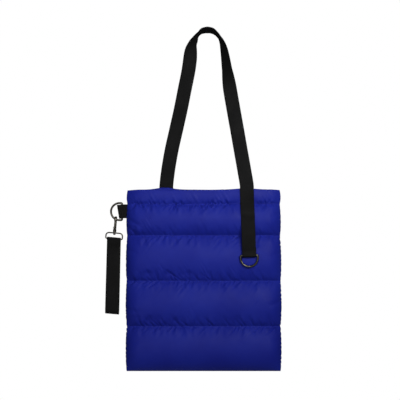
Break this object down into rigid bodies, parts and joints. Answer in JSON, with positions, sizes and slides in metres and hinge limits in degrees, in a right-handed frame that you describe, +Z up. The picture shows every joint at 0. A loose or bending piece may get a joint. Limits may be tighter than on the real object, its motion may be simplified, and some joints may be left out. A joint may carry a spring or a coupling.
{
  "type": "quilted shopper bag",
  "caption": "Quilted puffer shopper bag hanging from one webbing shoulder strap, with a tail ring and a clip-on wrist loop at the side.",
  "frame": {"origin": "where the underside of the strap's top bend hangs", "axes": "+Z up, -Y towards the viewer of the front panel, +X to that viewer's right"},
  "size_m": [0.3811, 0.0723, 0.743],
  "materials": {
    "quilted_nylon": "satin nylon taffeta, royal blue, quilted over padding",
    "webbing": "black ribbed polyester webbing, 30 mm wide",
    "dark_metal": "polished gunmetal plating"
  },
  "bodies": {
    "bag": {"front_panel": "quilted_nylon", "back_panel": "quilted_nylon", "shoulder_strap": "webbing", "side_tab": "webbing"},
    "tail_ring": {"tail_d_ring": "dark_metal"},
    "side_ring": {"side_d_ring": "dark_metal"},
    "hook": {"snap_hook": "dark_metal"},
    "gate": {"hook_gate": "dark_metal"},
    "wristlet": {"swivel_eye": "dark_metal", "wrist_loop": "webbing"}
  },
  "joints": [
    {"name": "tail_ring_swing", "type": "hinge", "parent": "bag", "child": "tail_ring", "pos_m": [0.08951, -0.03589, -0.4849], "axis": [-0.9995, 0, -0.0332], "range_deg": [0, 150]},
    {"name": "side_ring_swing", "type": "hinge", "parent": "bag", "child": "side_ring", "pos_m": [-0.18403, 0, -0.3914], "axis": [0, 0, 1], "range_deg": [-50, 50]},
    {"name": "wristlet_swing", "type": "hinge", "parent": "side_ring", "child": "hook", "pos_m": [-0.19797, 0, -0.40781], "axis": [0.8894, 0, -0.4571], "range_deg": [-40, 40]},
    {"name": "gate_open", "type": "hinge", "parent": "hook", "child": "gate", "pos_m": [-0.19955, -0.0066, -0.42593], "axis": [-0.9962, 0, 0.0872], "range_deg": [0, 25], "stiffness_Nm_per_rad": 0.02, "springref_deg": -14.32},
    {"name": "swivel_turn", "type": "hinge", "parent": "hook", "child": "wristlet", "pos_m": [-0.20056, 0, -0.43744], "axis": [0.0872, 0, 0.9962], "continuous": true}
  ]
}
